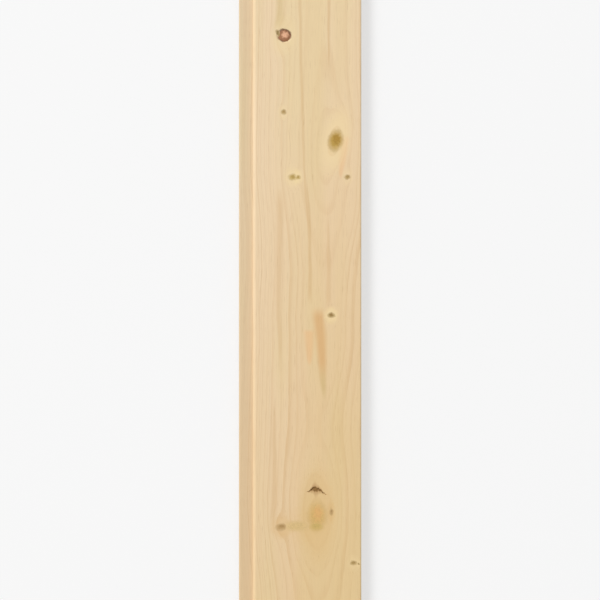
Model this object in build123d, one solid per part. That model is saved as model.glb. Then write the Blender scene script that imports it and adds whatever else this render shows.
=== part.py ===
from build123d import *
import os

# A tongue-and-groove wall panelling board of planed softwood, lying on its back, face up.
# X runs across the board, Y along the grain, Z from the back to the face. Millimetres.
# The tongue is on the -X edge and the groove on the +X edge. The origin is the middle of
# the back, measured over the tongue.

# Overall sizes
BOARD_LENGTH = 2100.0  # as sold
BOARD_THICKNESS = 12.5
COVER_WIDTH = 88.0  # from one board to the next as laid

# How deep the tongue goes into the next board, and the room it has there
TONGUE_ENGAGEMENT = 8.0
TONGUE_THICKNESS = 4.4
TONGUE_SIDE_CLEARANCE = 0.2  # above and below the tongue
TONGUE_TIP_CLEARANCE = 0.7
TONGUE_TIP_CHAMFER = 0.8

# Wood left under the tongue and the groove
BACK_CHEEK = 3.4

# What shows of the joint on the face: a strip of the tongue, then a bevel up to the face
JOINT_STRIP = 3.0
BEVEL_WIDTH = 2.0
BEVEL_DEPTH = 2.0

# Backs of laid boards stay this far apart
BACK_GAP = 0.3

# Small edges taken off by the planer
FACE_EASING = 0.6  # on the groove side
BACK_EASING = 0.4
GROOVE_MOUTH_EASING = 0.4

# Heights, up from the back
TONGUE_BOTTOM = BACK_CHEEK + TONGUE_SIDE_CLEARANCE
TONGUE_TOP = TONGUE_BOTTOM + TONGUE_THICKNESS
GROOVE_BOTTOM = BACK_CHEEK
GROOVE_TOP = TONGUE_TOP + TONGUE_SIDE_CLEARANCE

# Places across the board, from the middle of the overall width
OVERALL_WIDTH = COVER_WIDTH + TONGUE_ENGAGEMENT
GROOVE_EDGE = OVERALL_WIDTH / 2
GROOVE_FLOOR = GROOVE_EDGE - TONGUE_ENGAGEMENT - TONGUE_TIP_CLEARANCE
TONGUE_TIP = -OVERALL_WIDTH / 2
NEXT_BOARD_EDGE = GROOVE_EDGE - COVER_WIDTH  # where the neighbour's groove edge comes
BACK_SHOULDER = NEXT_BOARD_EDGE + BACK_GAP
FACE_SHOULDER = NEXT_BOARD_EDGE + JOINT_STRIP
FACE_START = FACE_SHOULDER + BEVEL_WIDTH


def tongue_side():
    """Outline points of the tongue edge, from the face down to the back."""
    return [
        (FACE_START, BOARD_THICKNESS),
        (FACE_SHOULDER, BOARD_THICKNESS - BEVEL_DEPTH),
        (FACE_SHOULDER, TONGUE_TOP),
        (TONGUE_TIP + TONGUE_TIP_CHAMFER, TONGUE_TOP),
        (TONGUE_TIP, TONGUE_TOP - TONGUE_TIP_CHAMFER),
        (TONGUE_TIP, TONGUE_BOTTOM + TONGUE_TIP_CHAMFER),
        (TONGUE_TIP + TONGUE_TIP_CHAMFER, TONGUE_BOTTOM),
        (BACK_SHOULDER, TONGUE_BOTTOM),
        (BACK_SHOULDER, BACK_EASING),
        (BACK_SHOULDER + BACK_EASING, 0),
    ]


def groove_side():
    """Outline points of the groove edge, from the back up to the face."""
    return [
        (GROOVE_EDGE - BACK_EASING, 0),
        (GROOVE_EDGE, BACK_EASING),
        (GROOVE_EDGE, GROOVE_BOTTOM - GROOVE_MOUTH_EASING),
        (GROOVE_EDGE - GROOVE_MOUTH_EASING, GROOVE_BOTTOM),
        (GROOVE_FLOOR, GROOVE_BOTTOM),
        (GROOVE_FLOOR, GROOVE_TOP),
        (GROOVE_EDGE - GROOVE_MOUTH_EASING, GROOVE_TOP),
        (GROOVE_EDGE, GROOVE_TOP + GROOVE_MOUTH_EASING),
        (GROOVE_EDGE, BOARD_THICKNESS - FACE_EASING),
        (GROOVE_EDGE - FACE_EASING, BOARD_THICKNESS),
    ]


def panelling_board():
    """The whole board: its section, run along the grain and centred on the origin."""
    section = Plane.XZ * make_face(Polyline(*tongue_side(), *groove_side(), close=True))
    return extrude(section, amount=BOARD_LENGTH / 2, both=True)


os.makedirs("parts", exist_ok=True)
export_step(panelling_board(), "parts/panelling_board.step")
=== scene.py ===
import math

import bmesh
import bpy
import numpy as np
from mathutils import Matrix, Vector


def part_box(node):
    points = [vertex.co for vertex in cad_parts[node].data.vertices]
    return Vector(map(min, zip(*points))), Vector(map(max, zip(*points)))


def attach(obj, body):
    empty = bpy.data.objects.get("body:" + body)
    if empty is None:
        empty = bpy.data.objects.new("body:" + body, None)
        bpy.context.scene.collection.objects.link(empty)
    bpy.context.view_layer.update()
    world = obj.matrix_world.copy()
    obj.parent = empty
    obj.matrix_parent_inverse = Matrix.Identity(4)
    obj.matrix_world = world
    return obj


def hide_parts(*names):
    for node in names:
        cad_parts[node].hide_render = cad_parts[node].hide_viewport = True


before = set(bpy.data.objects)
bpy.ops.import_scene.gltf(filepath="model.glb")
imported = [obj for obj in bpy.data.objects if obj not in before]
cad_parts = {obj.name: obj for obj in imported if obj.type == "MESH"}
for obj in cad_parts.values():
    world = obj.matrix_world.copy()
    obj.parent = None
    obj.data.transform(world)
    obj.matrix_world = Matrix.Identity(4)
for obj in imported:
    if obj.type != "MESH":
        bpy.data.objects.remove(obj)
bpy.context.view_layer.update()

# A tongue-and-groove panelling board of planed spruce, lying on its back on a pale floor.
# X runs across the board, Y along the grain and Z up, in metres. The lists of knots, streaks
# and bark pockets, and everything inside the wood's material, are in millimetres.

NODE = "panelling_board"
MM = 0.001
BOARD_LOW, BOARD_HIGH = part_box(NODE)
FACE_HEIGHT = BOARD_HIGH.z
FACE_MM = FACE_HEIGHT / MM

# How far apart the mesh's points are, across the board and along it
FACE_STEP = 1.15 * MM
BACK_STEP = 3.0 * MM
SIDE_STEP = 1.5 * MM
ROW_STEP = 6.0 * MM
FINE_ROW_STEP = 1.0 * MM
FINE_CUTS = 3
SHARP_ANGLE = math.radians(38)
SAME_PLACE = 1e-6

# The board's worn corners. Three points whose triangle is smaller than the straight area, in
# square metres, lie in a straight line.
WORN_CORNER = 0.35 * MM
INNER_CORNER = 0.15 * MM
CORNER_SHARE = 0.3
CORNER_STEPS = 3
END_ARRIS = 0.3 * MM
STRAIGHT_AREA = 1e-9

# A planer's waves: share, size across and along, start, and how far and how soon they weave
PLANED_DEPTH = 0.05 * MM
WAVES = [
    (0.33, 0.031, 0.113, 0.7, 1.3, 0.170),
    (0.17, 0.0083, 0.047, 2.0, 2.1, 0.090),
]

# The face's relief at its knots, where 1 is a knot's rim
DISH_DEPTH = 0.06 * MM
DISH_PLACE = 1.3
DISH_FADE = 2.5
HOLE_DEPTH = 2.4 * MM
HOLE_WALL = (0.35, 1.0)
CREVICE_DEPTH = 0.45 * MM
CREVICE_PLACE = 0.95
CREVICE_WIDTH = 0.13

# How unevenly deep the pits are, and how quickly that changes across and along
ROUGH_SHARE = 0.14
ROUGH_RATES = (1.7, 2.3)

# Points up to the first of these depths below the face sink fully with it, and from the second
# on not at all
SINKS_FULLY = 0.2 * MM
SINKS_NOT = 0.6 * MM

# How far round a knot or a pocket the face is cut finely, as a share of its longer half
KNOT_REACH = 1.45
POCKET_REACH = 1.1

# The texture's layout for baking: three lengths of the board side by side, and the sawn ends
TEXTURE_LENGTHS = 3
FACE_TEXTURE_SHARE = 0.56
END_TEXTURE_HEIGHT = 0.03
TEXTURE_MARGIN = 0.006

# Growth rings are arcs about a pith that lies below the board. It wanders to both sides and up
# and down, and the rings are warped and unevenly wide. A rate is lumps for each millimetre.
PITH_ACROSS = 17.0
PITH_DEPTH = 52.0
PITH_CLIMB = -0.012
PITH_WANDER = 22.0
PITH_WANDER_RATE = 0.0031
PITH_ROLL = 9.0
PITH_ROLL_RATE = 0.0047
PITH_ROLL_START = 40.0
RING_WIDTH = 1.75
RING_WARP = 2.2
UNEVEN_YEARS = 3.4
UNEVEN_RATE = 0.16

# A year's ring: where its latewood begins and is darkest, how dark its earlywood gets towards
# that, and the share of it all that the palest year keeps
LATEWOOD_FROM = 0.5
LATEWOOD_FULL = 0.93
EARLYWOOD_SHARE = 0.22
PALEST_YEAR = 0.35

# The grain's own unevenness, in millimetres
SWAY = 1.2
SWAY_RATE = 0.11
GRAIN_WANDER = 5.0
GRAIN_WANDER_RATE = 0.013

# A knot's pull on the grain round it: how much longer than the knot it is, how strong in the
# middle and how soon it fades. The rings rise over a knot by this share of its half width.
BEND_LENGTH = 1.9
BEND_PULL = 0.96
BEND_FADE = 0.6
RING_RISE = 0.5

# How fine each pattern is: its lumps for each millimetre across, along and up
FIBRE_LUMPS = (1.1, 0.009, 1.1)
THREAD_LUMPS = (4.2, 0.06, 4.2)
FLECK_LUMPS = (5.0, 0.09, 5.0)
PATCH_LUMPS = (0.03, 0.0042, 0.05)
BAND_LUMPS = (0.09, 0.002, 0.09)
WARP_LUMPS = (0.05, 0.0042, 0.05)
CELL_LUMPS = (2.6, 0.2, 2.6)
SAW_LUMPS = (1.7, 0.0, 0.12)
RAGGED_LUMPS = 0.5
GRIT_LUMPS = 1.9

# Colours as on screen, from 0 to 255
PALE_WOOD = (236, 214, 179)
TAN_WOOD = (225, 194, 145)
LATEWOOD = (203, 160, 104)
PINKISH = (234, 203, 163)
YELLOWISH = (228, 203, 150)
RESIN = (214, 160, 98)
AMBER = (238, 166, 98)
OLIVE = (203, 174, 114)
HALO = (218, 176, 112)
PALE = (242, 217, 165)
FLECK = (172, 128, 78)
BARK = (84, 54, 30)
POCKET_BARK = (136, 100, 50)
END_GRAIN = (206, 172, 124)
END_LATEWOOD = (150, 108, 62)

# Open wood has pinkish and yellowish patches. It has paler stretches, one such length apart, and
# is paler to the left of the pale side. The stretches are partly the wood's own tone and partly
# painted light: they make the stretch under the camera paler at its top and tanner at its bottom.
PATCH_EDGE = (0.38, 0.64)
PATCH_SHARE = 0.4
TONE_AND_LIGHT_LENGTH = 1400.0
TONE_AND_LIGHT_SHARE = 0.45
BAND_SHARE = 0.6
PALE_SIDE = (-26.0, 14.0)
PALE_SIDE_SHARES = (0.42, 0.02)

# How strongly the latewood shows, from its weakest bands to its strongest
LATE_BANDS = (0.35, 0.65)
LATE_SHARES = (0.16, 0.38)

# How much fibres and threads lighten the wood, which is this bright without them
PLAIN_TONE = 0.915
FIBRE_TONE = 0.1
THREAD_TONE = 0.08

# Flecks fade out where knots have bent the grain by these millimetres
FLECK_EDGE = (0.68, 0.84)
FLECK_BEND = (1.2, 2.6)
FLECK_SHARE = 0.34

# Painted shade: the wood at the tongue is darker, for the shadow of a neighbouring board's edge,
# fully at the first of these depths below the face, and not at all at the second
PAINTED_TONGUE_SHADE = (3.4, 2.0)
PAINTED_TONGUE_SHADE_TONE = 0.88

# The sawn ends, where the surface faces along the board
END_FACING = (0.6, 0.9)
END_SHARE = 0.7
END_TONE = 0.82
CELL_TONE = 0.16
SAW_TONE = 0.2

# The shader's roughness and what changes it, its gloss, and the relief in millimetres
ROUGHNESS = 0.56
FIBRE_ROUGHNESS = 0.12
LATE_ROUGHNESS = -0.1
END_ROUGHNESS = 0.25
RESIN_ROUGHNESS = -0.2
GLOSS = 0.36
LATE_RELIEF = 0.03
FIBRE_RELIEF = 0.03
THREAD_RELIEF = 0.015

# Each kind of knot: its colours in the middle and near the rim, then how strong its rim, its
# checks and its halo are. A weak rim is also soft, and a halo below zero is paler than the wood.
KNOT_KINDS = {
    "pin": ((158, 124, 80), (134, 100, 62), 0.35, 0.1, -0.3),
    "faint": ((170, 140, 86), (182, 152, 98), 0.1, 0.1, -0.25),
    "speck": ((150, 120, 70), (170, 142, 88), 0.12, 0.1, -0.7),
    "brown": ((178, 130, 80), (150, 106, 62), 0.5, 0.5, 0.5),
    "dull": ((176, 141, 90), (188, 154, 102), 0.08, 0.15, 0.25),
    "orange": ((204, 150, 90), (180, 128, 70), 0.4, 0.4, 0.5),
    "smudge": ((150, 125, 76), (162, 135, 84), 0.12, 0.0, 0.0),
    "mossy": ((182, 152, 86), (198, 170, 106), 0.06, 0.1, -0.4),
    "ochre": ((172, 134, 54), (187, 152, 74), 0.12, 0.15, -0.5),
    "pale": ((220, 174, 109), (211, 174, 106), 0.05, 0.06, 0.3),
    "shade": ((201, 171, 101), (206, 174, 106), 0.0, 0.05, 0.0),
    "tail": ((216, 185, 128), (216, 185, 128), 0.0, 0.0, 0.1),
    "ringed": ((228, 174, 138), (158, 108, 74), 0.75, 0.3, -0.3),
    "open": ((96, 66, 34), (110, 78, 44), 0.9, 0.9, 0.2),
}

# Kinds whose pits roughen the face, and kinds that leave the grain straight
ROUGH_KINDS = ("open", "ringed")
FLAT_KINDS = ("tail", "shade", "smudge")

# Kind, place across and along the face, half width, half length and turn in degrees
KNOTS = [
    ("brown", -21.0, 961.0, 3.6, 4.2, 0),
    ("pin", 30.5, 915.0, 1.9, 2.0, 0),
    ("ochre", 6.0, 842.0, 5.2, 6.6, 12),
    ("pin", -9.0, 806.0, 1.8, 1.9, 0),
    ("orange", 35.0, 741.0, 3.2, 4.4, 0),
    ("pin", -27.0, 668.0, 2.0, 2.1, 0),
    ("brown", 14.5, 622.0, 2.9, 3.2, 0),
    ("pin", -9.4, 527.0, 2.0, 2.2, 0),
    ("orange", 12.5, 461.0, 2.8, 4.6, 0),
    ("pin", 27.3, 316.0, 2.1, 1.9, 0),
    ("ringed", -12.6, 227.2, 5.4, 4.9, -12),
    ("smudge", -17.2, 228.8, 1.7, 3.2, 24),
    ("faint", -12.9, 167.2, 2.2, 2.1, 0),
    ("ochre", 27.9, 144.8, 6.0, 8.6, -12),
    ("mossy", -5.9, 116.4, 3.4, 2.7, 0),
    ("mossy", -1.5, 116.2, 2.3, 1.9, 0),
    ("faint", 37.2, 116.5, 2.3, 2.2, 0),
    ("speck", 24.4, 8.0, 3.0, 2.2, 0),
    ("pale", 13.4, -149.0, 7.8, 12.0, 0),
    ("shade", 12.8, -157.4, 6.6, 4.0, 0),
    ("dull", 24.6, -146.0, 1.6, 3.0, 0),
    ("tail", -2.6, -157.2, 11.4, 4.6, 0),
    ("dull", -14.6, -157.8, 4.7, 2.9, 8),
    ("faint", 42.0, -186.0, 2.6, 2.1, 0),
    ("faint", 46.0, -186.4, 1.0, 0.9, 0),
    ("brown", 10.6, -273.5, 3.8, 4.8, 0),
    ("pin", -3.1, -321.0, 2.4, 2.3, 0),
    ("brown", 25.4, -351.5, 3.6, 3.8, 0),
    ("open", -32.3, -435.5, 5.4, 2.6, -8),
    ("pin", 37.8, -438.0, 1.9, 1.9, 0),
    ("pin", 23.4, -583.6, 2.0, 2.0, 0),
    ("orange", -20.0, -655.0, 3.4, 4.9, 0),
    ("pin", 8.0, -712.0, 1.8, 2.0, 0),
    ("ringed", 31.0, -778.0, 4.4, 4.9, 0),
    ("pin", -14.0, -846.0, 2.2, 2.0, 0),
    ("ochre", 3.0, -905.0, 4.6, 6.2, 10),
    ("pin", -28.0, -968.0, 1.9, 1.9, 0),
    ("brown", 22.0, -1006.0, 3.0, 3.6, 0),
]

# A knot's look, where 1 is its rim, which is ragged. Its fine rings lie about the ring middle.
RAGGED_MM = 2.0
RAGGED_RIM = 2.0
RAGGED_HALO = 0.8
RAGGED_HEART = 0.9
RAGGED_RINGS = 6.0
HALO_EDGE = (1.0, 2.4)
HALO_SHORTENED = 0.6
RING_MIDDLE = (-0.1, -0.18, 0.0)
RING_RATE = 17.0
RING_TONE = 0.045
GRIT_TONE = 0.3
HEART_TONE = 0.85
HEART_EDGE = (0.22, 0.68)

# Its checks are fine spokes, which change along the board
CHECK_SPOKES = 2.1
CHECK_WIDTH = 0.035
CHECK_FROM = (0.1, 0.3)
CHECK_TO = (0.6, 0.95)
SPOKE_DRIFT = 0.05

# Its dark rim is weaker in gaps. Its edge is soft where the rim is weak, and firm elsewhere.
RIM_SPOKES = 0.8
RIM_INSIDE = (0.62, 0.94)
RIM_OUTSIDE = (0.94, 1.16)
RIM_GAPS = (0.36, 0.6)
GAP_SHARE = 0.25
RIM_SHARE = 0.9
SOFT_EDGE = (0.3, 1.3)
FIRM_EDGE = (0.84, 1.12)
SOFT_RIM = 0.05
FIRM_RIM = 0.45

# Streaks along the grain: colour, blunt end across and along, pointed end along, how far they
# drift across on the way, half width and strength
STREAKS = [
    ("olive", -15.8, 230.0, 292.0, -1.5, 5.4, 0.42),
    ("latewood", -1.3, 330.0, 13.0, 12.2, 2.5, 0.3),
    ("latewood", 8.6, 14.0, 122.0, -3.2, 2.6, 0.34),
    ("latewood", 22.4, 306.0, 196.0, 0.0, 2.6, 0.38),
    ("latewood", 23.2, 11.0, 91.0, -1.5, 3.2, 0.26),
    ("latewood", -15.6, 113.0, -45.0, -1.5, 4.6, 0.27),
    ("resin", 15.2, 16.0, -62.0, 4.0, 7.6, 0.56),
    ("amber", 6.6, -2.0, -33.0, 0.0, 6.4, 0.27),
    ("amber", 33.0, 150.0, 113.0, 0.0, 6.5, 0.24),
    ("latewood", -20.0, -159.0, -51.0, 0.0, 3.8, 0.28),
    ("resin", 22.0, 780.0, 660.0, 2.0, 4.8, 0.45),
    ("amber", -9.0, 556.0, 470.0, 1.5, 4.4, 0.28),
    ("latewood", 4.0, 905.0, 560.0, -7.0, 2.6, 0.36),
    ("resin", -6.0, -640.0, -742.0, -2.0, 5.2, 0.45),
    ("latewood", 31.0, -520.0, -760.0, -4.0, 2.6, 0.35),
]
STREAK_COLOURS = {"resin": RESIN, "amber": AMBER, "olive": OLIVE, "latewood": LATEWOOD}

# A streak's half width at its point, and where it fades: towards its sides in shares of its half
# width, and towards its ends in shares of the way from its point to its blunt end. Resin turns
# olive on that way too.
STREAK_THINNEST = 0.1
STREAK_SIDE = (0.15, 1.0)
STREAK_POINT = (0.0, 0.2)
STREAK_BLUNT = (0.87, 1.0)
RESIN_TURNS = (0.18, 0.45)

# Bark pockets, bent over a knot: the top across and along, the length and the droop of the arm
# on the left and on the right, half thickness and depth
POCKETS = [
    (11.8, -127.9, (7.6, 10.8), (3.4, 6.4), 2.3, 0.9),
]

# A pocket's left arm turns into its right one within this distance of its top. Its line bows
# and narrows by these powers towards the tips, and wobbles by these sizes at these rates.
POCKET_TURN = 1.0
POCKET_BOW = 1.5
POCKET_NARROWING = 2.0
POCKET_THINNEST = 0.12
POCKET_WOBBLES = ((0.35, 1.1), (0.2, 2.9))

# Where its hollow, bark and stain fade: across the line in shares of its width, and along an arm
HOLLOW_SIDE = (0.35, 1.0)
HOLLOW_TIP = (0.6, 1.0)
BARK_SIDE = (0.6, 1.2)
BARK_TIP = (0.3, 1.0)
STAIN_SIDE = (0.7, 3.4)
STAIN_SHARE = 0.6

# The camera looks straight down on this stretch of the board
VIEW_MIDDLE = 0.02
VIEW_WIDTH = 0.47
CAMERA_HEIGHT = 1.4
SENSOR = 36.0

# The floor is whiter where it is further away
FLOOR_SIDE = 60.0
FLOOR_GREY = 0.86
FLOOR_DROP = 0.05 * MM
FLOOR_WHITENED = 0.6
FLOOR_WHITER_FROM = 1.6
FLOOR_WHITE_FROM = 4.0
WHITE = (1, 1, 1, 1)

# The light: an even sky, and a lamp at the upper left of the picture
SKY = 0.48
LAMP_PLACE = (-7.35, 6.6, 9.3)
LAMP_SIDE = 5.1
LAMP_WATTS = 1350.0


# Helpers


def linear(colour):
    """A colour written as on screen, 0 to 255, as the light that it stands for."""
    shares = [c / 255 for c in colour]
    light = [c / 12.92 if c <= 0.04045 else ((c + 0.055) / 1.055) ** 2.4 for c in shares]
    return (*light, 1.0)


def smooth_step(low, high, value):
    """The value's way from low to high, from 0 to 1, with soft ends."""
    t = np.clip((value - low) / (high - low), 0, 1)
    return t * t * (3 - 2 * t)


def new_object(name, data):
    """A new object in the scene."""
    thing = bpy.data.objects.new(name, data)
    bpy.context.scene.collection.objects.link(thing)
    return thing


# The board's section


def end_outline(node):
    """The board's section as (x, z) places in order, read from the sawn end of its solid."""
    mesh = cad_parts[node].data
    places = [tuple(round(c / SAME_PLACE) for c in v.co) for v in mesh.vertices]
    end = min(p[1] for p in places)
    used = {}
    for face in mesh.polygons:
        ring = [places[i] for i in face.vertices]
        if all(p[1] == end for p in ring):
            for a, b in zip(ring, ring[1:] + ring[:1]):
                used.setdefault(frozenset((a, b)), []).append((a, b))
    following = dict(edges[0] for edges in used.values() if len(edges) == 1)
    start = point = min(following)
    outline = []
    while not outline or point != start:
        outline.append(np.array([point[0], point[2]]) * SAME_PLACE)
        point = following[point]
    return without_straight_points(outline)


def turn_at(before, corner, after):
    """Twice the area of the triangle of three places, which is positive on a left turn."""
    a, b = corner - before, after - corner
    return a[0] * b[1] - a[1] * b[0]


def without_straight_points(outline):
    """The outline without the points in the middle of its straight stretches, turning left."""
    count = len(outline)
    kept = [
        outline[i] for i in range(count)
        if abs(turn_at(outline[i - 1], outline[i], outline[(i + 1) % count])) > STRAIGHT_AREA
    ]
    area = sum(a[0] * b[1] - a[1] * b[0] for a, b in zip(kept, kept[1:] + kept[:1]))
    return kept if area > 0 else kept[::-1]


def worn_corners(outline):
    """Each corner of the outline as a short bend of places."""
    count = len(outline)
    bends = []
    for i, corner in enumerate(outline):
        before, after = outline[i - 1], outline[(i + 1) % count]
        wear = WORN_CORNER if turn_at(before, corner, after) > 0 else INNER_CORNER
        into, out = before - corner, after - corner
        shorter = min(np.linalg.norm(into), np.linalg.norm(out))
        reach = min(wear, CORNER_SHARE * shorter)
        start = corner + into / np.linalg.norm(into) * reach
        end = corner + out / np.linalg.norm(out) * reach
        bends.append([
            start * (1 - t) ** 2 + corner * 2 * t * (1 - t) + end * t ** 2
            for t in np.linspace(0, 1, CORNER_STEPS + 1)
        ])
    return bends


def step_along(a, b):
    """How far apart the points are on the straight stretch from a to b."""
    if min(a[1], b[1]) > FACE_HEIGHT - SAME_PLACE:
        return FACE_STEP
    return BACK_STEP if max(a[1], b[1]) < SAME_PLACE else SIDE_STEP


def section_points(outline):
    """A point for each of the mesh's columns, ordered so that the mesh's faces point outwards."""
    bends = worn_corners(outline)
    points = []
    for bend, following in zip(bends, bends[1:] + bends[:1]):
        points += bend
        a, b = bend[-1], following[0]
        steps = max(1, round(np.linalg.norm(b - a) / step_along(a, b)))
        points += [a + (b - a) * i / steps for i in range(1, steps)]
    return np.array(points[::-1])


def shrunk(points, amount):
    """The section with each point moved inwards, for the arris round a sawn end."""
    ahead = np.roll(points, -1, axis=0) - np.roll(points, 1, axis=0)
    ahead /= np.linalg.norm(ahead, axis=1, keepdims=True)
    return points + np.stack([ahead[:, 1], -ahead[:, 0]], axis=1) * amount


# The face's relief


def rough_places():
    """Where the face has pits: the middle across and along, and the reach, in metres."""
    for kind, across, along, half_width, half_length, _ in KNOTS:
        if kind in ROUGH_KINDS:
            yield across * MM, along * MM, KNOT_REACH * max(half_width, half_length) * MM
    for across, along, arms, droops, *_ in POCKETS:
        yield across * MM, (along - max(droops) / 2) * MM, POCKET_REACH * max(arms) * MM


def waves(x, y):
    """A smooth unevenness from 0 to 1, as a planer leaves it."""
    height = 0.5
    for share, across, along, start, weave, weave_length in WAVES:
        weaving = weave * np.sin(y / weave_length)
        wave = np.sin(x / across + weaving) * np.sin(y / along + start)
        height = height + share * wave
    return height


def knot_distance(knot, x, y):
    """How far places are from a knot's middle, where 1 is its rim."""
    _, across, along, half_width, half_length, turn = knot
    c, s = math.cos(math.radians(turn)), math.sin(math.radians(turn))
    dx, dy = x / MM - across, y / MM - along
    return np.hypot((dx * c + dy * s) / half_width, (dy * c - dx * s) / half_length)


def pocket_share(pocket, x, y):
    """1 in the middle of a bark pocket, and 0 outside it."""
    across, along, arms, droops, half_thickness, _ = pocket
    side = smooth_step(-POCKET_TURN, POCKET_TURN, x / MM - across)
    arm = arms[0] + (arms[1] - arms[0]) * side
    droop = droops[0] + (droops[1] - droops[0]) * side
    aside = np.clip(np.abs(x / MM - across) / arm, 0, 1)
    wobble = sum(size * np.sin(x / MM * rate) for size, rate in POCKET_WOBBLES)
    off = np.abs(y / MM - along + droop * aside ** POCKET_BOW + wobble)
    width = POCKET_THINNEST + half_thickness * (1 - aside) ** POCKET_NARROWING
    return (1 - smooth_step(*HOLLOW_SIDE, off / width)) * (1 - smooth_step(*HOLLOW_TIP, aside))


def sunk(x, y):
    """How far the planed face lies below its highest plane."""
    depth = PLANED_DEPTH * waves(x, y)
    lumps = ROUGH_SHARE * np.sin(x / MM * ROUGH_RATES[0] + 1.0) * np.sin(y / MM * ROUGH_RATES[1])
    rough = 1 - ROUGH_SHARE + lumps
    for knot in KNOTS:
        away = knot_distance(knot, x, y)
        depth = depth + DISH_DEPTH * np.exp(-((away - DISH_PLACE) ** 2) * DISH_FADE)
        if knot[0] == "open":
            depth = depth + HOLE_DEPTH * rough * (1 - smooth_step(*HOLE_WALL, away))
        if knot[0] == "ringed":
            crevice = np.exp(-((away - CREVICE_PLACE) / CREVICE_WIDTH) ** 2)
            depth = depth + CREVICE_DEPTH * rough * crevice
    for pocket in POCKETS:
        depth = depth + pocket[-1] * MM * rough * pocket_share(pocket, x, y)
    return depth


# The board's mesh


def row_places():
    """The places along the board that the mesh has a row for, closer together at rough places."""
    low, high = BOARD_LOW.y + END_ARRIS, BOARD_HIGH.y - END_ARRIS
    rows = list(np.linspace(low, high, round((high - low) / ROW_STEP)))
    for _, along, reach in rough_places():
        rows = [y for y in rows if abs(y - along) > reach + FINE_ROW_STEP]
        rows += list(np.arange(along - reach, along + reach, FINE_ROW_STEP))
    return np.array(sorted(rows))


def texture_across(section):
    """Each column's place across one length of the baked texture, from 0 to 1."""
    steps = np.linalg.norm(np.roll(section, -1, axis=0) - section, axis=1)
    on_face = np.minimum(section[:, 1], np.roll(section[:, 1], -1)) > FACE_HEIGHT - SAME_PLACE
    steps[on_face] *= FACE_TEXTURE_SHARE / steps[on_face].sum()
    steps[~on_face] *= (1 - FACE_TEXTURE_SHARE) / steps[~on_face].sum()
    return np.concatenate([[0.0], np.cumsum(steps)])


def texture_places(section, rows):
    """The texture places of every corner of every face, in the order of the mesh's faces."""
    across = texture_across(section) * (1 / TEXTURE_LENGTHS - TEXTURE_MARGIN) + TEXTURE_MARGIN / 2
    length = (rows[-1] - rows[0]) / TEXTURE_LENGTHS
    low, high = END_TEXTURE_HEIGHT + 2 * TEXTURE_MARGIN, 1 - 2 * TEXTURE_MARGIN
    places = []
    for a, b in zip(rows, rows[1:]):
        part = min(int(((a + b) / 2 - rows[0]) / length), TEXTURE_LENGTHS - 1)
        v, w = (low + (high - low) * ((y - rows[0]) / length - part) for y in (a, b))
        for left, right in zip(across, across[1:]):
            left, right = left + part / TEXTURE_LENGTHS, right + part / TEXTURE_LENGTHS
            places += [(left, v), (right, v), (right, w), (left, w)]
    scale = 0.5 * (1 - 4 * TEXTURE_MARGIN) / (BOARD_HIGH.x - BOARD_LOW.x)
    rise = END_TEXTURE_HEIGHT / FACE_HEIGHT
    front = section[::-1] - (BOARD_LOW.x, 0.0)
    back = (BOARD_HIGH.x, 0.0) - section * (1.0, -1.0)
    for shift, points in ((TEXTURE_MARGIN, front), (0.5 + TEXTURE_MARGIN, back)):
        places += [(shift + x * scale, TEXTURE_MARGIN / 2 + z * rise) for x, z in points]
    return np.array(places)


def cut_finely(mesh):
    """Divides the face more finely at its rough places."""
    fine = bmesh.new()
    fine.from_mesh(mesh)
    for across, along, reach in rough_places():
        edges = {}
        for face in fine.faces:
            middle = face.calc_center_median()
            flat = middle.z > FACE_HEIGHT - SAME_PLACE
            if flat and math.hypot(middle.x - across, middle.y - along) < reach:
                edges.update(dict.fromkeys(face.edges))
        bmesh.ops.subdivide_edges(fine, edges=list(edges), cuts=FINE_CUTS, use_grid_fill=True)
    fine.to_mesh(mesh)
    fine.free()


def press_face(mesh):
    """Lowers the planed face's points into its hollows, pits and crevices."""
    places = np.zeros(len(mesh.vertices) * 3)
    mesh.vertices.foreach_get("co", places)
    x, y, z = places.reshape(-1, 3).T
    inside = smooth_step(0, 2 * END_ARRIS, np.minimum(y - BOARD_LOW.y, BOARD_HIGH.y - y))
    near_face = smooth_step(FACE_HEIGHT - SINKS_NOT, FACE_HEIGHT - SINKS_FULLY, z)
    z -= sunk(x, y) * near_face * inside
    mesh.vertices.foreach_set("co", places)


def board_mesh():
    """The whole board as one closed mesh: rows of the section, with an end face on each end."""
    section = section_points(end_outline(NODE))
    rows = np.concatenate([[BOARD_LOW.y], row_places(), [BOARD_HIGH.y]])
    columns, count = len(section), len(rows)
    grid = np.zeros((count, columns, 3))
    grid[:, :, 0], grid[:, :, 2] = section[:, 0], section[:, 1]
    grid[:, :, 1] = rows[:, None]
    grid[(0, -1), :, 0], grid[(0, -1), :, 2] = shrunk(section, END_ARRIS).T
    faces = [
        (r * columns + c, r * columns + d, (r + 1) * columns + d, (r + 1) * columns + c)
        for r in range(count - 1) for c, d in zip(range(columns), [*range(1, columns), 0])
    ]
    faces.append(tuple(range(columns))[::-1])
    faces.append(tuple(range((count - 1) * columns, count * columns)))
    mesh = bpy.data.meshes.new("board")
    mesh.from_pydata(grid.reshape(-1, 3).tolist(), [], faces)
    layer = mesh.uv_layers.new(name="OFBake")
    layer.data.foreach_set("uv", texture_places(section, rows).ravel())
    cut_finely(mesh)
    press_face(mesh)
    mesh.update()
    mesh.shade_smooth()
    mesh.set_sharp_from_angle(angle=SHARP_ANGLE)
    return mesh


# Node trees


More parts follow.
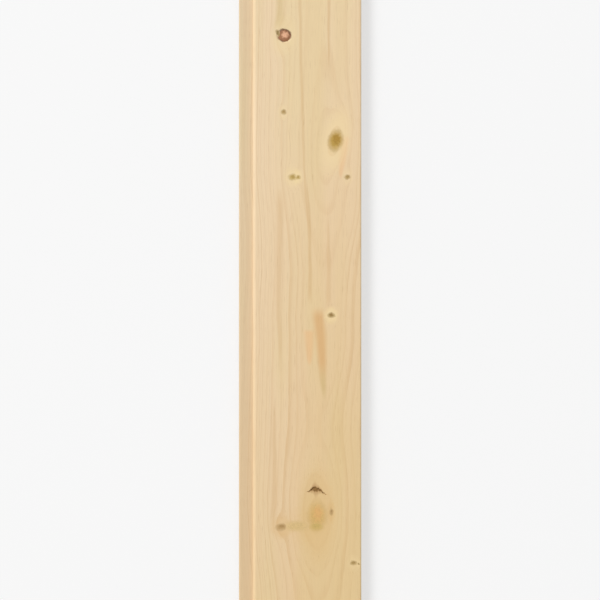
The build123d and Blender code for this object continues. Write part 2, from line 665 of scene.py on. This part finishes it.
class Tree:
    """Adds nodes to one node tree. Any input may be a number, a tuple or another node's output."""

    def __init__(self, tree):
        self.tree = tree

    def add(self, kind, inputs=(), **settings):
        """A new node with these settings, and its inputs by name or number."""
        node = self.tree.nodes.new(kind)
        for name, value in settings.items():
            setattr(node, name, value)
        for key, value in dict(inputs).items():
            self.feed(node.inputs[key], value)
        return node

    def add_group(self, group, inputs):
        """A node that does what the group does, with its inputs by name."""
        node = self.add("ShaderNodeGroup", node_tree=group)
        for name, value in inputs.items():
            self.feed(node.inputs[name], value)
        return node

    def feed(self, socket, value):
        """Links an output to the socket, or writes a value in it."""
        if isinstance(value, bpy.types.NodeSocket):
            self.tree.links.new(value, socket)
        else:
            socket.default_value = value

    def math(self, operation, *values):
        """A sum with numbers."""
        node = self.add("ShaderNodeMath", dict(enumerate(values)), operation=operation)
        return node.outputs[0]

    def vector(self, operation, *values):
        """A sum with vectors or colours."""
        node = self.add("ShaderNodeVectorMath", operation=operation)
        sockets = [s for s in node.inputs if s.enabled]
        for socket, value in zip(sockets, values):
            self.feed(socket, value)
        return next(s for s in node.outputs if s.enabled)

    def product(self, first, *others):
        """All the numbers multiplied."""
        for other in others:
            first = self.math("MULTIPLY", first, other)
        return first

    def total(self, start, *shares):
        """A number with a share of each of some others added to it."""
        for value, share in shares:
            start = self.math("MULTIPLY_ADD", value, share, start)
        return start

    def swing(self, noise, size, middle=0.0):
        """Noise about 0.5 as a number about the middle, with this much between its extremes."""
        return self.math("MULTIPLY_ADD", noise, size, middle - size / 2)

    def xyz(self, x, y, z):
        """A vector of three numbers."""
        return self.add("ShaderNodeCombineXYZ", {0: x, 1: y, 2: z}).outputs[0]

    def parts(self, vector):
        """A vector's three numbers."""
        return self.add("ShaderNodeSeparateXYZ", {0: vector}).outputs

    def noise(self, place, detail=2.0, roughness=0.5):
        """Noise about 0.5 at a place whose unit is the size of the noise's lumps."""
        inputs = {"Vector": place, "Scale": 1.0, "Detail": detail, "Roughness": roughness}
        return self.add("ShaderNodeTexNoise", inputs, noise_dimensions="3D").outputs[0]

    def lumps(self, place, sizes, detail=2.0, roughness=0.5):
        """Noise about 0.5 with this many lumps for each millimetre across, along and up."""
        return self.noise(self.vector("MULTIPLY", place, sizes), detail, roughness)

    def noise_along(self, place, detail=1.0):
        """Noise about 0.5 along one direction."""
        inputs = {"W": place, "Scale": 1.0, "Detail": detail}
        return self.add("ShaderNodeTexNoise", inputs, noise_dimensions="1D").outputs[0]

    def between(self, value, low, high, to_low=0.0, to_high=1.0, kind="SMOOTHSTEP"):
        """The value's way from low to high, as a number from to_low to to_high."""
        inputs = {0: value, 1: low, 2: high, 3: to_low, 4: to_high}
        return self.add("ShaderNodeMapRange", inputs, interpolation_type=kind).outputs[0]

    def mix(self, factor, a, b):
        """Colour a turned towards colour b."""
        node = self.add("ShaderNodeMix", data_type="RGBA")
        for socket, value in zip((node.inputs[0], node.inputs[6], node.inputs[7]), (factor, a, b)):
            self.feed(socket, value)
        return node.outputs[2]

    def choose(self, factor, a, b):
        """Vector a, or vector b where the factor is 1."""
        node = self.add("ShaderNodeMix", data_type="VECTOR")
        for socket, value in zip((node.inputs[0], node.inputs[4], node.inputs[5]), (factor, a, b)):
            self.feed(socket, value)
        return node.outputs[1]


def empty_tree(owner):
    """The tree helper of a material or world, with all of its nodes cleared away."""
    owner.use_nodes = True
    owner.node_tree.nodes.clear()
    return Tree(owner.node_tree)


def new_group(name, inputs, outputs):
    """An empty node group with these sockets, its tree helper, its inputs and a way to end it."""
    group = bpy.data.node_groups.new(name, "ShaderNodeTree")
    kinds = {"number": "NodeSocketFloat", "vector": "NodeSocketVector", "colour": "NodeSocketColor"}
    for direction, sockets in (("INPUT", inputs), ("OUTPUT", outputs)):
        for label, kind in sockets.items():
            group.interface.new_socket(label, in_out=direction, socket_type=kinds[kind])
    tree = Tree(group)
    return group, tree, tree.add("NodeGroupInput").outputs, tree.add("NodeGroupOutput").inputs


# Knots


def place_in_knot(tree, given):
    """A place's shares of a knot's half width and half length, and how far it is, squared."""
    apart = tree.vector("SUBTRACT", given["Place"], given["Centre"])
    u = tree.vector("DOT_PRODUCT", apart, given["Across"])
    v = tree.vector("DOT_PRODUCT", apart, given["Along"])
    squared = tree.math("MULTIPLY_ADD", u, u, tree.math("MULTIPLY", v, v))
    return apart, u, v, squared


def bend_group():
    """One knot's pull on the grain: the grain parts round it, and the rings rise over it."""
    inputs = {
        "Place": "vector", "Centre": "vector", "Across": "vector", "Along": "vector",
        "Rise": "number",
    }
    group, tree, given, result = new_group("bend", inputs, {"Place": "vector"})
    apart, _, _, squared = place_in_knot(tree, given)
    fade = tree.math("EXPONENT", tree.math("MULTIPLY", squared, -BEND_FADE))
    strength = tree.math("MULTIPLY", fade, BEND_PULL)
    rise = tree.xyz(0.0, 0.0, tree.math("MULTIPLY", given["Rise"], -1.0))
    move = tree.vector("MULTIPLY_ADD", apart, (-1.0, 0.0, 0.0), rise)
    moved = tree.vector("ADD", given["Place"], tree.vector("SCALE", move, strength))
    tree.feed(result["Place"], moved)
    return group


def knot_group():
    """One knot's halo, and its claim to be the nearest knot.

    Near holds the place in the nearest knot so far, where 1 is its rim, and Distance the square
    of how far that is. Traits holds the strength of its rim and of its checks, and how ragged it
    is. Halo adds up how much darker the wood is round the knots, or paler where it is below zero.
    Distance is a number of its own, so that no knot in the chain takes a vector apart: the
    renderer keeps too many values at once if they do, and the wood turns black.
    """
    state = {
        "Near": "vector", "Distance": "number", "Inner": "colour", "Outer": "colour",
        "Traits": "vector", "Halo": "number",
    }
    own = {
        "Place": "vector", "Centre": "vector", "Across": "vector", "Along": "vector",
        "Own Inner": "colour", "Own Outer": "colour", "Own Traits": "vector",
        "Own Halo": "number", "Ragged": "number",
    }
    group, tree, given, result = new_group("knot", {**state, **own}, state)
    _, u, v, distance = place_in_knot(tree, given)
    closer = tree.math("LESS_THAN", distance, given["Distance"])
    tree.feed(result["Distance"], tree.math("MINIMUM", distance, given["Distance"]))
    tree.feed(result["Near"], tree.choose(closer, given["Near"], tree.xyz(u, v, 0.0)))
    tree.feed(result["Inner"], tree.mix(closer, given["Inner"], given["Own Inner"]))
    tree.feed(result["Outer"], tree.mix(closer, given["Outer"], given["Own Outer"]))
    tree.feed(result["Traits"], tree.choose(closer, given["Traits"], given["Own Traits"]))
    reach = tree.vector("LENGTH", tree.xyz(u, tree.math("MULTIPLY", v, HALO_SHORTENED), 0.0))
    reach = tree.math("MULTIPLY_ADD", given["Ragged"], RAGGED_HALO, reach)
    fade = tree.between(reach, *HALO_EDGE, 1.0, 0.0)
    tree.feed(result["Halo"], tree.math("MULTIPLY_ADD", fade, given["Own Halo"], given["Halo"]))
    return group


def knot_axes(x, half_width, half_length, turn):
    """The vectors that give a place's share of the knot's half width and half length."""
    c, s = math.cos(math.radians(turn)), math.sin(math.radians(turn))
    # A knot grows out from the pith, so it leans away from the line above the pith
    lean = (x - PITH_ACROSS) / PITH_DEPTH
    across = (c / half_width, s / half_width, -lean * c / half_width)
    along = (-s / half_length, c / half_length, lean * s / half_length)
    return across, along


def bent_by_knots(tree, place):
    """The place with the grain that passes through it straightened."""
    group = bend_group()
    for kind, x, y, half_width, half_length, turn in KNOTS:
        if kind in FLAT_KINDS:
            continue
        length = max(half_length, half_width) * BEND_LENGTH
        across, along = knot_axes(x, half_width, length, turn)
        node = tree.add_group(group, {
            "Place": place, "Centre": (x, y, FACE_MM), "Across": across, "Along": along,
            "Rise": RING_RISE * half_width,
        })
        place = node.outputs["Place"]
    return place


def nearest_knot(tree, place, ragged):
    """What the nearest knot is like, and how strong the halos are."""
    group = knot_group()
    state = {
        "Near": (9.0, 9.0, 0.0), "Distance": 99.0, "Inner": linear(TAN_WOOD),
        "Outer": linear(TAN_WOOD), "Traits": (0.0, 0.0, 0.0), "Halo": 0.0,
    }
    for kind, x, y, half_width, half_length, turn in KNOTS:
        inner, outer, rim, checks, halo = KNOT_KINDS[kind]
        across, along = knot_axes(x, half_width, half_length, turn)
        own = {
            "Place": place, "Centre": (x, y, FACE_MM), "Across": across, "Along": along,
            "Own Inner": linear(inner), "Own Outer": linear(outer),
            "Own Traits": (rim, checks, RAGGED_MM / (half_width + half_length)),
            "Own Halo": halo, "Ragged": ragged,
        }
        node = tree.add_group(group, {**state, **own})
        state = {name: node.outputs[name] for name in state}
    return state


def heart_colour(tree, knots, place, ragged, core):
    """A knot's own wood, with fine rings and grit."""
    heart = tree.mix(tree.between(core, *HEART_EDGE), knots["Inner"], knots["Outer"])
    ripple = tree.math("MULTIPLY", ragged, RAGGED_RINGS)
    rings = tree.math("SINE", tree.math("MULTIPLY_ADD", core, RING_RATE, ripple))
    grit = tree.noise(tree.vector("SCALE", place, GRIT_LUMPS))
    shade = tree.total(HEART_TONE, (grit, GRIT_TONE), (rings, RING_TONE))
    return tree.vector("SCALE", heart, shade)


def spokes(tree, knots, drift, count, detail):
    """Noise about 0.5 that changes with the direction from the nearest knot's middle."""
    flat = tree.vector("NORMALIZE", knots["Near"])
    return tree.noise(tree.vector("MULTIPLY_ADD", flat, (count, count, count), drift), detail)


def check_share(tree, knots, drift, core, away, strength):
    off = tree.math("SUBTRACT", spokes(tree, knots, drift, CHECK_SPOKES, 0.0), 0.5)
    check = tree.between(tree.math("ABSOLUTE", off), 0.0, CHECK_WIDTH, 1.0, 0.0)
    check = tree.product(check, tree.between(core, *CHECK_FROM))
    return tree.product(check, tree.between(away, *CHECK_TO, 1.0, 0.0), strength)


def rim_share(tree, knots, drift, away, strength):
    """How dark the rim of the nearest knot is."""
    side = spokes(tree, knots, drift, RIM_SPOKES, 1.0)
    rim = tree.product(tree.between(away, *RIM_INSIDE), tree.between(away, *RIM_OUTSIDE, 1.0, 0.0))
    return tree.product(rim, tree.between(side, *RIM_GAPS, GAP_SHARE, 1.0), strength)


def add_knot_look(tree, place, ragged, wood):
    """The wood's colour with the knots in it."""
    knots = nearest_knot(tree, place, ragged)
    wood = tree.mix(knots["Halo"], wood, linear(HALO))
    wood = tree.mix(tree.math("MULTIPLY", knots["Halo"], -1.0), wood, linear(PALE))
    rim_strength, check_strength, raggedness = tree.parts(knots["Traits"])
    distance = tree.math("SQRT", knots["Distance"])
    raggedness = tree.math("MULTIPLY", raggedness, RAGGED_RIM)
    away = tree.math("MULTIPLY_ADD", ragged, raggedness, distance)
    core = tree.vector("LENGTH", tree.vector("ADD", knots["Near"], RING_MIDDLE))
    core = tree.math("MULTIPLY_ADD", ragged, RAGGED_HEART, core)
    heart = heart_colour(tree, knots, place, ragged, core)
    drift = tree.xyz(0.0, 0.0, tree.math("MULTIPLY", tree.parts(place)[1], SPOKE_DRIFT))
    check = check_share(tree, knots, drift, core, away, check_strength)
    rim = rim_share(tree, knots, drift, away, rim_strength)
    dark = tree.math("MULTIPLY", tree.math("MAXIMUM", rim, check), RIM_SHARE)
    edge_start = tree.between(rim_strength, 0.0, FIRM_RIM, SOFT_EDGE[0], FIRM_EDGE[0])
    edge_end = tree.between(rim_strength, SOFT_RIM, FIRM_RIM, SOFT_EDGE[1], FIRM_EDGE[1])
    colour = tree.mix(tree.between(away, edge_start, edge_end, 1.0, 0.0), wood, heart)
    return tree.mix(dark, colour, linear(BARK))


# Streaks, growth rings and bark pockets


def streak_share(tree, grain, along, streak):
    """How much one streak colours the wood, and the way along it from its point."""
    _, across, blunt, point, drift, half_width, strength = streak
    way = tree.between(along, point, blunt, kind="LINEAR")
    gone = tree.math("SUBTRACT", 1.0, way)
    middle = tree.math("MULTIPLY_ADD", tree.math("MULTIPLY", gone, gone), drift, across)
    width = tree.math("MULTIPLY_ADD", tree.math("SQRT", way), half_width, STREAK_THINNEST)
    off = tree.math("DIVIDE", tree.math("SUBTRACT", grain, middle), width)
    side = tree.between(tree.math("ABSOLUTE", off), *STREAK_SIDE, strength, 0.0)
    point_end = tree.between(way, *STREAK_POINT)
    ends = tree.math("MULTIPLY", point_end, tree.between(way, *STREAK_BLUNT, 1.0, 0.0))
    return tree.math("MULTIPLY", side, ends), way


def streaks_by_colour(tree, grain, along):
    """How much of each streak colour there is. Resin turns olive towards a streak's point."""
    shares = dict.fromkeys(STREAK_COLOURS, 0.0)
    for streak in STREAKS:
        share, way = streak_share(tree, grain, along, streak)
        name = streak[0]
        if name == "resin":
            dulled = tree.math("MULTIPLY", share, tree.between(way, *RESIN_TURNS, 1.0, 0.0))
            shares["olive"] = tree.math("MAXIMUM", shares["olive"], dulled)
            share = tree.math("SUBTRACT", share, dulled)
        shares[name] = tree.math("MAXIMUM", shares[name], share)
    return shares


def ring_radius(tree, grain, along, height):
    """How far the wood is from the pith, warped as its rings are."""
    wander = tree.noise_along(tree.math("MULTIPLY", along, PITH_WANDER_RATE))
    pith = tree.swing(wander, PITH_WANDER, PITH_ACROSS)
    roll = tree.noise_along(tree.math("MULTIPLY_ADD", along, PITH_ROLL_RATE, PITH_ROLL_START))
    depth = tree.total(PITH_DEPTH, (along, PITH_CLIMB), (roll, PITH_ROLL))
    aside = tree.math("SUBTRACT", grain, pith)
    above = tree.math("ADD", height, depth)
    warp = tree.swing(tree.lumps(tree.xyz(grain, along, height), WARP_LUMPS), RING_WARP)
    return tree.math("ADD", tree.vector("LENGTH", tree.xyz(aside, above, 0.0)), warp)


def add_rings(tree, grain, along, height):
    """The growth rings. Returns how much latewood there is, from 0 to 1."""
    radius = ring_radius(tree, grain, along, height)
    uneven = tree.noise_along(tree.math("MULTIPLY", radius, UNEVEN_RATE), detail=2.0)
    years = tree.math("DIVIDE", radius, RING_WIDTH)
    years = tree.math("MULTIPLY_ADD", uneven, UNEVEN_YEARS, years)
    number = tree.math("FLOOR", years)
    way = tree.math("SUBTRACT", years, number)
    late = tree.between(way, LATEWOOD_FROM, LATEWOOD_FULL)
    late = tree.product(late, tree.between(way, LATEWOOD_FULL, 1.0, 1.0, 0.0), 1 - EARLYWOOD_SHARE)
    late = tree.math("MULTIPLY_ADD", way, EARLYWOOD_SHARE, late)
    year = tree.add("ShaderNodeTexWhiteNoise", {"W": number}, noise_dimensions="1D").outputs[0]
    return tree.product(late, tree.total(PALEST_YEAR, (year, 1 - PALEST_YEAR)))


def add_pockets(tree, place, wood):
    """The wood's colour with the bark pockets in it, as deep into the board as they go."""
    x, y, z = tree.parts(place)
    wobble = 0.0
    for size, rate in POCKET_WOBBLES:
        wobble = tree.total(wobble, (tree.math("SINE", tree.math("MULTIPLY", x, rate)), size))
    for across, along, arms, droops, half_thickness, depth in POCKETS:
        off_middle = tree.math("SUBTRACT", x, across)
        arm = tree.between(off_middle, -POCKET_TURN, POCKET_TURN, *arms)
        droop = tree.between(off_middle, -POCKET_TURN, POCKET_TURN, *droops)
        aside = tree.math("DIVIDE", tree.math("ABSOLUTE", off_middle), arm)
        aside = tree.math("MINIMUM", aside, 1.0)
        line = tree.math("MULTIPLY", tree.math("POWER", aside, POCKET_BOW), droop)
        line = tree.math("SUBTRACT", tree.math("SUBTRACT", along, line), wobble)
        narrowing = tree.math("POWER", tree.math("SUBTRACT", 1.0, aside), POCKET_NARROWING)
        width = tree.math("MULTIPLY_ADD", narrowing, half_thickness, POCKET_THINNEST)
        off = tree.math("DIVIDE", tree.math("ABSOLUTE", tree.math("SUBTRACT", y, line)), width)
        below = tree.between(z, FACE_MM - 2 * depth, FACE_MM - depth)
        ends = tree.math("MULTIPLY", tree.between(aside, *BARK_TIP, 1.0, 0.0), below)
        stain = tree.math("MULTIPLY", tree.between(off, *STAIN_SIDE, STAIN_SHARE, 0.0), ends)
        wood = tree.mix(stain, wood, linear(FLECK))
        share = tree.math("MULTIPLY", tree.between(off, *BARK_SIDE, 1.0, 0.0), ends)
        wood = tree.mix(share, wood, linear(POCKET_BARK))
    return wood


# The wood's material


def fleck_share(tree, run, swayed):
    """How much of the fine dark flecks shows, which is nothing where knots bend the grain."""
    flecks = tree.lumps(run, FLECK_LUMPS, detail=0.0)
    bent = tree.vector("LENGTH", tree.vector("SUBTRACT", run, swayed))
    straight = tree.between(bent, *FLECK_BEND, FLECK_SHARE, 0.0)
    return tree.math("MULTIPLY", tree.between(flecks, *FLECK_EDGE), straight)


def open_wood(tree, run, bands):
    """The wood's colour between its rings: patches, and paler stretches that are partly painted
    light.
    """
    patches = tree.lumps(run, PATCH_LUMPS)
    patch = tree.mix(tree.between(patches, *PATCH_EDGE), linear(PINKISH), linear(YELLOWISH))
    # Partly painted light: this sine makes the stretch under the camera paler at its top, tanner
    # below
    turn = tree.math("MULTIPLY", tree.parts(run)[1], 2 * math.pi / TONE_AND_LIGHT_LENGTH)
    drift = tree.total(0.0, (bands, BAND_SHARE), (tree.math("SINE", turn), TONE_AND_LIGHT_SHARE))
    aside = tree.between(tree.parts(run)[0], *PALE_SIDE, *PALE_SIDE_SHARES)
    drifted_and_lit = tree.mix(tree.math("ADD", drift, aside), linear(TAN_WOOD), linear(PALE_WOOD))
    return tree.mix(PATCH_SHARE, drifted_and_lit, patch)


def wood_colour(tree, run, swayed, ragged, late, fibres, threads, streaks):
    """Everything that colours the wood, apart from its sawn ends."""
    flecks = fleck_share(tree, run, swayed)
    bands = tree.lumps(run, BAND_LUMPS)
    colour = open_wood(tree, run, bands)
    late_share = tree.math("MULTIPLY", late, tree.between(bands, *LATE_BANDS, *LATE_SHARES))
    colour = tree.mix(late_share, colour, linear(LATEWOOD))
    tone = tree.total(PLAIN_TONE, (threads, THREAD_TONE), (fibres, FIBRE_TONE))
    colour = tree.vector("SCALE", colour, tone)
    colour = tree.mix(flecks, colour, linear(FLECK))
    for name, share in streaks.items():
        colour = tree.mix(share, colour, linear(STREAK_COLOURS[name]))
    colour = add_knot_look(tree, swayed, ragged, colour)
    return add_pockets(tree, swayed, colour)


def end_colour(tree, place, late, wood):
    """The sawn ends: darker, with plainer rings and the marks of the saw."""
    rings = tree.mix(late, linear(END_GRAIN), linear(END_LATEWOOD))
    cells = tree.lumps(place, CELL_LUMPS)
    marks = tree.lumps(place, SAW_LUMPS)
    tone = tree.total(END_TONE, (marks, SAW_TONE), (cells, CELL_TONE))
    return tree.vector("SCALE", tree.mix(END_SHARE, wood, rings), tone)


def follow_grain(tree, place):
    """The place, slightly swayed, and where it is along the straightened grain."""
    inputs = {"Vector": place, "Scale": SWAY_RATE, "Detail": 2.0}
    sway = tree.add("ShaderNodeTexNoise", inputs).outputs[1]
    sway = tree.vector("MULTIPLY_ADD", sway, (SWAY, SWAY, SWAY), (-SWAY / 2, -SWAY / 2, -SWAY / 2))
    swayed = tree.vector("ADD", place, sway)
    return swayed, tree.vector("SUBTRACT", bent_by_knots(tree, swayed), sway)


def add_surface(tree, colour, late, fibres, threads, end, resin):
    """Ends the material with this colour and with its roughness, gloss and fine relief."""
    rough = tree.total(
        ROUGHNESS, (fibres, FIBRE_ROUGHNESS), (late, LATE_ROUGHNESS), (end, END_ROUGHNESS),
        (resin, RESIN_ROUGHNESS),
    )
    relief = tree.total(0.0, (late, LATE_RELIEF), (fibres, FIBRE_RELIEF), (threads, THREAD_RELIEF))
    bump = tree.add("ShaderNodeBump", {"Height": relief, "Distance": MM, "Strength": 1.0})
    shader = tree.add("ShaderNodeBsdfPrincipled", {
        "Base Color": colour, "Roughness": rough, "Normal": bump.outputs[0],
        "Specular IOR Level": GLOSS,
    })
    tree.add("ShaderNodeOutputMaterial", {"Surface": shader.outputs[0]})


def spruce():
    """Planed spruce, worked out through the whole thickness, so that all of its sides agree."""
    material = bpy.data.materials.new("planed_spruce")
    tree = empty_tree(material)
    object_place = tree.add("ShaderNodeTexCoord").outputs["Object"]
    place = tree.vector("SCALE", object_place, 1 / MM)
    ragged = tree.noise(tree.vector("SCALE", place, RAGGED_LUMPS), detail=3.0)
    ragged = tree.math("SUBTRACT", ragged, 0.5)
    swayed, run = follow_grain(tree, place)
    grain, along, height = tree.parts(run)
    wander = tree.noise_along(tree.math("MULTIPLY", along, GRAIN_WANDER_RATE), detail=2.0)
    grain = tree.math("ADD", grain, tree.swing(wander, GRAIN_WANDER))
    late = add_rings(tree, grain, along, height)
    fibres = tree.lumps(run, FIBRE_LUMPS, detail=4.0, roughness=0.62)
    threads = tree.lumps(run, THREAD_LUMPS)
    streaks = streaks_by_colour(tree, grain, along)
    colour = wood_colour(tree, run, swayed, ragged, late, fibres, threads, streaks)
    # Painted shade: the wood at the tongue is darkened for the shadow of a neighbouring board's
    # edge
    tongue_shade_depths = (FACE_MM - depth for depth in PAINTED_TONGUE_SHADE)
    tone = tree.between(tree.parts(place)[2], *tongue_shade_depths, PAINTED_TONGUE_SHADE_TONE, 1.0)
    colour = tree.vector("SCALE", colour, tone)
    normal = tree.parts(tree.add("ShaderNodeNewGeometry").outputs["Normal"])
    end = tree.between(tree.math("ABSOLUTE", normal[1]), *END_FACING)
    colour = tree.mix(end, colour, end_colour(tree, place, late, colour))
    add_surface(tree, colour, late, fibres, threads, end, streaks["resin"])
    return material


def add_board():
    """The board takes the place of the plain solid, and rides where that does."""
    board = new_object("board", board_mesh())
    board.data.materials.append(spruce())
    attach(board, "root")
    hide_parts(NODE)


# The stage


def seen_directly(tree):
    """1 for rays from the camera and for rays that a mirror or glass passes on, otherwise 0."""
    path = tree.add("ShaderNodeLightPath").outputs
    seen = tree.math("MAXIMUM", path["Is Camera Ray"], path["Is Glossy Ray"])
    return tree.math("MAXIMUM", seen, path["Is Transmission Ray"])


def pale_floor():
    """A matt grey that looks whiter where it is seen, and still takes a shadow."""
    material = bpy.data.materials.new("pale_floor")
    tree = empty_tree(material)
    matt = tree.add("ShaderNodeBsdfDiffuse", {"Color": (FLOOR_GREY, FLOOR_GREY, FLOOR_GREY, 1)})
    white = tree.add("ShaderNodeEmission", {"Color": WHITE, "Strength": 1.0})
    away = tree.vector("LENGTH", tree.add("ShaderNodeTexCoord").outputs["Object"])
    whitened = tree.between(away, FLOOR_WHITER_FROM, FLOOR_WHITE_FROM, FLOOR_WHITENED, 1.0)
    share = tree.math("MULTIPLY", seen_directly(tree), whitened)
    both = tree.add("ShaderNodeMixShader", {0: share, 1: matt.outputs[0], 2: white.outputs[0]})
    tree.add("ShaderNodeOutputMaterial", {"Surface": both.outputs[0]})
    return material


def add_floor():
    """A wide pale floor just under the board."""
    half = FLOOR_SIDE / 2
    corners = [(x * half, y * half, -FLOOR_DROP) for x, y in ((-1, -1), (1, -1), (1, 1), (-1, 1))]
    mesh = bpy.data.meshes.new("floor")
    mesh.from_pydata(corners, [], [(0, 1, 2, 3)])
    mesh.materials.append(pale_floor())
    floor = new_object("floor", mesh)


def add_sky():
    """Even light from all round, which shows as white."""
    world = bpy.data.worlds.new("sky")
    tree = empty_tree(world)
    strength = tree.between(seen_directly(tree), 0.0, 1.0, SKY, 1.0, kind="LINEAR")
    sky = tree.add("ShaderNodeBackground", {"Color": WHITE, "Strength": strength})
    tree.add("ShaderNodeOutputWorld", {"Surface": sky.outputs[0]})
    bpy.context.scene.world = world


def add_lamp():
    """One large square soft lamp, which faces the middle of the board."""
    light = bpy.data.lights.new("key", "AREA")
    light.shape = "SQUARE"
    light.size = LAMP_SIDE
    light.energy = LAMP_WATTS
    lamp = new_object("key", light)
    lamp.location = LAMP_PLACE
    way = -Vector(LAMP_PLACE)
    lamp.rotation_euler = way.to_track_quat("-Z", "Y").to_euler()


def add_camera():
    """Looks straight down, with the grain upright in the picture."""
    data = bpy.data.cameras.new("camera")
    data.sensor_width = SENSOR
    data.lens = SENSOR * (CAMERA_HEIGHT - FACE_HEIGHT) / VIEW_WIDTH
    camera = new_object("camera", data)
    camera.location = (0.0, VIEW_MIDDLE, CAMERA_HEIGHT)
    bpy.context.scene.camera = camera


bpy.context.scene.view_settings.view_transform = "Standard"
add_camera()
add_board()
add_floor()
add_sky()
add_lamp()
